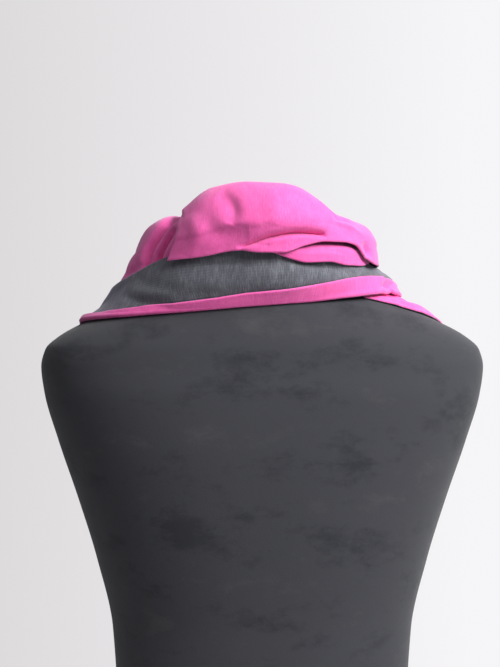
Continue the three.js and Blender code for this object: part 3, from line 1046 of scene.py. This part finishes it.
@dataclass
class RightArm:
    """The arm that comes out under the nape fold, and hangs over the right shoulder."""

    rows: tuple[UnderRow, ...] = (
        UnderRow(-72, 95, 644, 101, 641, 103, 637),
        UnderRow(-62, 96, 648, 103.5, 641, 105.5, 633),
        UnderRow(-53, 97, 650, 106, 642, 107, 630.5),
        UnderRow(-43, 98, 651, 107.5, 643, 107, 630.5),
        UnderRow(-33, 98, 652, 107.8, 643, 106.8, 633),
        UnderRow(-21, 98, 650, 106.5, 642, 105.5, 632),
        UnderRow(-13, 98, 648, 105, 642, 104.5, 635),
        UnderRow(-5, 97, 648, 103, 645, 103, 640),
        UnderRow(8, 97, 651, 102, 648, 102.5, 644),
    )
    end: HangingEnd = field(
        default_factory=lambda: HangingEnd(
            (
                EndRow(-88, 52, 608, 16, 0.4),
                EndRow(-108, 38, 603, 24, 1.8),
                EndRow(-130, 20, 595, 32, 4.5),
                EndRow(-146, -6, 586, 38, 5),
                EndRow(-149, -34, 575, 40, 5),
                EndRow(-146, -62, 553, 42, 5),
                EndRow(-140, -82, 520, 42, 5),
                EndRow(-133, -92, 484, 36, 4.5),
                EndRow(-127, -96, 448, 24, 3),
                EndRow(-122, -94, 412, 5, 1),
            )
        )
    )
    steps_along: int = 150
    steps_across: int = 26
    folds: tuple[Fold, ...] = (
        Fold(Side.BACK, ((-30, 640), (-54, 642), (-74, 639)), 1.0, 2, 3, 0.5),
        Fold(Side.BACK, ((-118, 606), (-138, 600), (-152, 592)), 2.4, 3, 4, 0.5),
        Fold(Side.RIGHT, ((30, 602), (0, 592), (-40, 572)), 2.2, 4, 5, 0.5),
        Fold(Side.FRONT, ((-146, 548), (-140, 508), (-130, 462)), 2.4, 5, 6, 0.4),
    )

    def build(self, form: DressForm, pink: bpy.types.Material, grey: bpy.types.Material) -> None:
        """Builds and dresses the stretch under the nape fold and the hanging end.

        Args:
            form: The form that it rests on.
            pink: The material of its outer side.
            grey: The material of its inner side.
        """
        table = SmoothTable(self.rows, "angle")
        angle = np.linspace(self.rows[0].angle, self.rows[-1].angle, self.steps_along)
        read = {name: table.at(name, angle) for name in table.columns}
        parts = ("top", "belly", "foot")
        keys = [np.stack([read[f"{part}_r"], read[f"{part}_z"]], axis=-1) for part in parts]
        flat = curve_through(np.stack(keys, axis=1), np.linspace(0, 1, self.steps_across))
        grid = polar(angle[:, None], flat[..., 0], flat[..., 1])
        under = shell("cloth_under_wrap", crease(grid, self.folds), hem=0.3)
        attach(under, "root")
        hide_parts("scarf_under_wrap")
        take_finish(under, pink, grey)

        points = crease(self.end.grid(form, None)[:, ::-1], self.folds)
        swell = rumple(points, 30, 17.9) * 0.7 + rumple(points, 12, 2.4) * 0.25
        points = form.clear(points + grid_normals(points) * swell[..., None], LYING)
        tail = shell("cloth_right_end", points, hem=0.25)
        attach(tail, "root")
        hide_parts("scarf_right_end")
        take_finish(tail, pink, grey)


# ------------------------------------------------------------------- finish


class Nodes:
    """A short way to build a material's node tree."""

    def __init__(self, name: str) -> None:
        """Starts a material with a Principled shader.

        Args:
            name: The material's name.
        """
        self.material = bpy.data.materials.new(name)
        self.material.use_nodes = True
        self.tree = self.material.node_tree
        self.shader = self.tree.nodes["Principled BSDF"]

    def add(self, kind: str, inputs: dict, **settings: object) -> bpy.types.Node:
        """Adds a node.

        Args:
            kind: The node's type name, without its prefix.
            inputs: Values or output sockets, by the input's name or number.
            **settings: The node's own settings.

        Returns:
            The node.
        """
        node = self.tree.nodes.new("ShaderNode" + kind)
        for key, value in settings.items():
            setattr(node, key, value)
        for key, value in inputs.items():
            if isinstance(value, bpy.types.NodeSocket):
                self.tree.links.new(value, node.inputs[key])
            else:
                node.inputs[key].default_value = value
        return node

    def colours(self, value: bpy.types.NodeSocket, stops: tuple) -> bpy.types.NodeSocket:
        """A colour ramp.

        Args:
            value: What it reads.
            stops: Pairs of a place and a linear colour.

        Returns:
            Its colour.
        """
        node = self.add("ValToRGB", {"Fac": value})
        ramp_stops = node.color_ramp.elements
        while len(ramp_stops) < len(stops):
            ramp_stops.new(0.5)
        for stop, (place, colour) in zip(ramp_stops, stops):
            stop.position = place
            stop.color = (*colour, 1)
        return node.outputs["Color"]

    def noise(
        self, place: bpy.types.NodeSocket, scale: float, detail: float, rough: float
    ) -> bpy.types.NodeSocket:
        """Noise of a given size and detail at a place."""
        settings = {"Vector": place, "Scale": scale, "Detail": detail, "Roughness": rough}
        return self.add("TexNoise", settings).outputs["Fac"]

    def bump(self, height: bpy.types.NodeSocket, strength: float) -> bpy.types.NodeSocket:
        """Fine relief from a height."""
        settings = {"Strength": strength, "Distance": RELIEF, "Height": height}
        return self.add("Bump", settings).outputs["Normal"]

    def shade(
        self, colour: bpy.types.NodeSocket, bump: bpy.types.NodeSocket, **values: float | tuple
    ) -> None:
        """Links a colour and a bump, and sets plain values on the shader.

        Args:
            colour: Its base colour.
            bump: Its normal.
            **values: Plain values, by the socket's name with _ for each space.
        """
        self.tree.links.new(colour, self.shader.inputs["Base Color"])
        self.tree.links.new(bump, self.shader.inputs["Normal"])
        for key, value in values.items():
            self.shader.inputs[key.replace("_", " ")].default_value = value


@dataclass(frozen=True)
class Jersey:
    """Fine cotton jersey, with its knitted wales across the stretch."""

    slot: Slot
    dark: tuple[float, float, float]
    middle: tuple[float, float, float]
    light: tuple[float, float, float]
    streaks: float  # how strongly the yarn's flecks show
    relief: float  # how strongly the knit stands out
    wale: float = 0.0011  # the width of one knitted wale
    course: float = 0.0009

    def material(self) -> bpy.types.Material:
        """Builds the material."""
        n = Nodes(self.slot.value)
        uv = n.add("UVMap", {}, uv_map="weave").outputs["UV"]
        slant = n.add("Mapping", {"Vector": uv, "Rotation": (0, 0, 0.35), "Scale": (900, 190, 1)})
        fleck = n.noise(slant.outputs[0], 1.0, 3.0, 0.6)
        wide = n.add("Mapping", {"Vector": uv, "Rotation": (0, 0, 0.5), "Scale": (150, 60, 1)})
        cloud = n.noise(wide.outputs[0], 1.0, 3.0, 0.55)
        blend = n.add("Mix", {"Factor": 0.4, "A": fleck, "B": cloud}, data_type="FLOAT")
        low = 0.5 - 0.32 * self.streaks
        stops = ((low, self.dark), (0.5, self.middle), (1 - low, self.light))
        colour = n.colours(blend.outputs[0], stops)
        bands = []
        for axis, pitch, uneven in (("X", self.wale, 0.5), ("Y", self.course, 0.8)):
            settings = {"Vector": uv, "Scale": 1 / pitch / FULL_TURN, "Distortion": uneven, "Detail": 1.0}
            bands.append(n.add("TexWave", settings, bands_direction=axis).outputs["Fac"])
        knit = n.add("Math", {0: bands[0], 1: bands[1]}, operation="MULTIPLY")
        height = n.add("Math", {0: knit.outputs[0], 1: fleck}, operation="ADD")
        bump = n.bump(height.outputs[0], self.relief)
        n.shade(
            colour,
            bump,
            Roughness=0.75,
            Sheen_Weight=0.32,
            Sheen_Roughness=0.6,
            Sheen_Tint=(0.88, 0.82, 1.0, 1),
            Specular_IOR_Level=0.3,
        )
        return n.material


@dataclass(frozen=True)
class FlockedCover:
    """The form's charcoal cover, short-napped and a little scuffed."""

    nap: tuple[float, float, float] = (0.040, 0.041, 0.048)
    scuffed: tuple[float, float, float] = (0.025, 0.026, 0.032)
    dusty: tuple[float, float, float] = (0.054, 0.054, 0.059)

    def material(self) -> bpy.types.Material:
        """Builds the material."""
        n = Nodes(Slot.FORM.value)
        place = n.add("TexCoord", {}).outputs["Object"]
        stretched = n.add("Mapping", {"Vector": place, "Scale": (9, 9, 16)})
        patches = n.noise(stretched.outputs[0], 1.0, 7.0, 0.72)
        stops = ((0.36, self.scuffed), (0.47, self.nap), (0.56, self.nap), (0.68, self.dusty))
        colour = n.colours(patches, stops)
        bump = n.bump(n.noise(place, 900.0, 3.0, 0.7), strength=0.3)
        n.shade(
            colour,
            bump,
            Roughness=0.9,
            Sheen_Weight=0.12,
            Sheen_Roughness=0.5,
            Specular_IOR_Level=0.2,
        )
        return n.material


# -------------------------------------------------------------------- stage


@dataclass
class Studio:
    """The floor, the soft light and the camera."""

    camera_at: tuple[float, float, float] = (0.011, 1.4, 0.570)
    lens: float = 82.1
    floor_radius: float = 1.05
    neck: tuple[float, float, float] = (0, 0, 0.6)
    # painted shade: the wall seen behind the form is darker on the form's left, away from the window lamp,
    # and brighter on its right
    wall_left: tuple[float, ...] = (0.72, 0.70, 0.71, 1)
    wall_right: tuple[float, ...] = (0.92, 0.91, 0.93, 1)
    wall_spread: tuple[float, float] = (0.17, -0.14)  # how far round to +X each of the two is seen, so the painted shade fades across the wall
    ambient: float = 0.19
    ambient_tint: tuple[float, ...] = (0.93, 0.95, 1.0, 1)

    def floor(self) -> None:
        """Lays a pale round floor."""
        bpy.ops.mesh.primitive_circle_add(vertices=96, radius=self.floor_radius, fill_type="NGON")
        floor = bpy.context.object
        floor.name = "floor"
        n = Nodes("floor_white")
        speck = n.add("TexNoise", {"Scale": 40.0, "Detail": 2.0})
        colour = n.colours(speck.outputs["Fac"], ((0.3, (0.60, 0.59, 0.59)), (0.7, (0.64, 0.63, 0.63))))
        n.tree.links.new(colour, n.shader.inputs["Base Color"])
        n.shader.inputs["Roughness"].default_value = 0.9
        floor.data.materials.append(n.material)

    def lamp(self, name: str, place: tuple, aim: tuple, size: float, power: float) -> None:
        """Hangs one soft square lamp.

        Args:
            name: The lamp's name.
            place: Where it hangs.
            aim: What it points at.
            size: Its side, in metres.
            power: Its power, in watts.
        """
        light = bpy.data.lights.new(name, "AREA")
        light.shape = "SQUARE"
        light.size = size
        light.energy = power
        lamp = bpy.data.objects.new(name, light)
        lamp.location = place
        lamp.rotation_euler = (Vector(aim) - Vector(place)).to_track_quat("-Z", "Y").to_euler()
        bpy.context.scene.collection.objects.link(lamp)

    def world(self) -> None:
        """Sets an even pale surround, seen as near white, with painted shade that makes it a little darker
        on the form's left, away from the window lamp.
        """
        world = bpy.data.worlds.new("surround")
        world.use_nodes = True
        bpy.context.scene.world = world
        nodes, links = world.node_tree.nodes, world.node_tree.links
        nodes.clear()
        place = nodes.new("ShaderNodeTexCoord")
        split = nodes.new("ShaderNodeSeparateXYZ")
        links.new(place.outputs["Generated"], split.inputs[0])
        wall = nodes.new("ShaderNodeValToRGB")
        spread = nodes.new("ShaderNodeMapRange")
        spread.inputs["From Min"].default_value = self.wall_spread[0]
        spread.inputs["From Max"].default_value = self.wall_spread[1]
        links.new(split.outputs["X"], spread.inputs["Value"])
        links.new(spread.outputs[0], wall.inputs["Fac"])
        # the ramp paints shade on the seen wall, darker on the form's left and lighter on its right
        wall.color_ramp.elements[0].color = self.wall_left
        wall.color_ramp.elements[1].color = self.wall_right
        soft = nodes.new("ShaderNodeBackground")
        soft.inputs["Color"].default_value = self.ambient_tint
        soft.inputs["Strength"].default_value = self.ambient
        seen = nodes.new("ShaderNodeBackground")
        links.new(wall.outputs["Color"], seen.inputs["Color"])
        path = nodes.new("ShaderNodeLightPath")
        mix = nodes.new("ShaderNodeMixShader")
        links.new(path.outputs["Is Camera Ray"], mix.inputs[0])
        links.new(soft.outputs[0], mix.inputs[1])
        links.new(seen.outputs[0], mix.inputs[2])
        out = nodes.new("ShaderNodeOutputWorld")
        links.new(mix.outputs[0], out.inputs["Surface"])

    def build(self) -> None:
        """Builds the stage, the lights and the camera."""
        self.floor()
        self.lamp("window", (-1.22, 0.98, 1.62), (0, 0, 0.7), 0.9, 64)
        self.lamp("ceiling", (-0.2, 0.6, 2.1), self.neck, 1.2, 7)
        self.lamp("front_fill", (-0.6, -1.6, 1.3), self.neck, 1.5, 22)
        self.world()
        data = bpy.data.cameras.new("camera")
        data.lens = self.lens
        camera = bpy.data.objects.new("camera", data)
        camera.location = self.camera_at
        camera.rotation_euler = (math.radians(90), 0, math.radians(180))
        bpy.context.scene.collection.objects.link(camera)
        bpy.context.scene.camera = camera
        bpy.context.scene.view_settings.view_transform = "Standard"


# --------------------------------------------------------------------- main


PINK = Jersey(
    Slot.PINK,
    dark=(0.76, 0.082, 0.34),
    middle=(0.81, 0.096, 0.375),
    light=(0.85, 0.115, 0.41),
    streaks=0.3,
    relief=0.15,
)
GREY = Jersey(
    Slot.GREY,
    dark=(0.022, 0.024, 0.030),
    middle=(0.088, 0.092, 0.108),
    light=(0.25, 0.26, 0.29),
    streaks=1.0,
    relief=0.35,
)


def main() -> None:
    """Builds every piece in order and reports it."""
    logging.basicConfig(level=logging.INFO, format="%(name)s: %(message)s")
    Studio().build()
    pink, grey = PINK.material(), GREY.material()
    form = DressForm()
    form.build(FlockedCover().material())
    Cowl().build(form, pink, grey)
    LeftArm().build(form, pink, grey)
    RightArm().build(form, pink, grey)


if __name__ == "__main__":
    main()
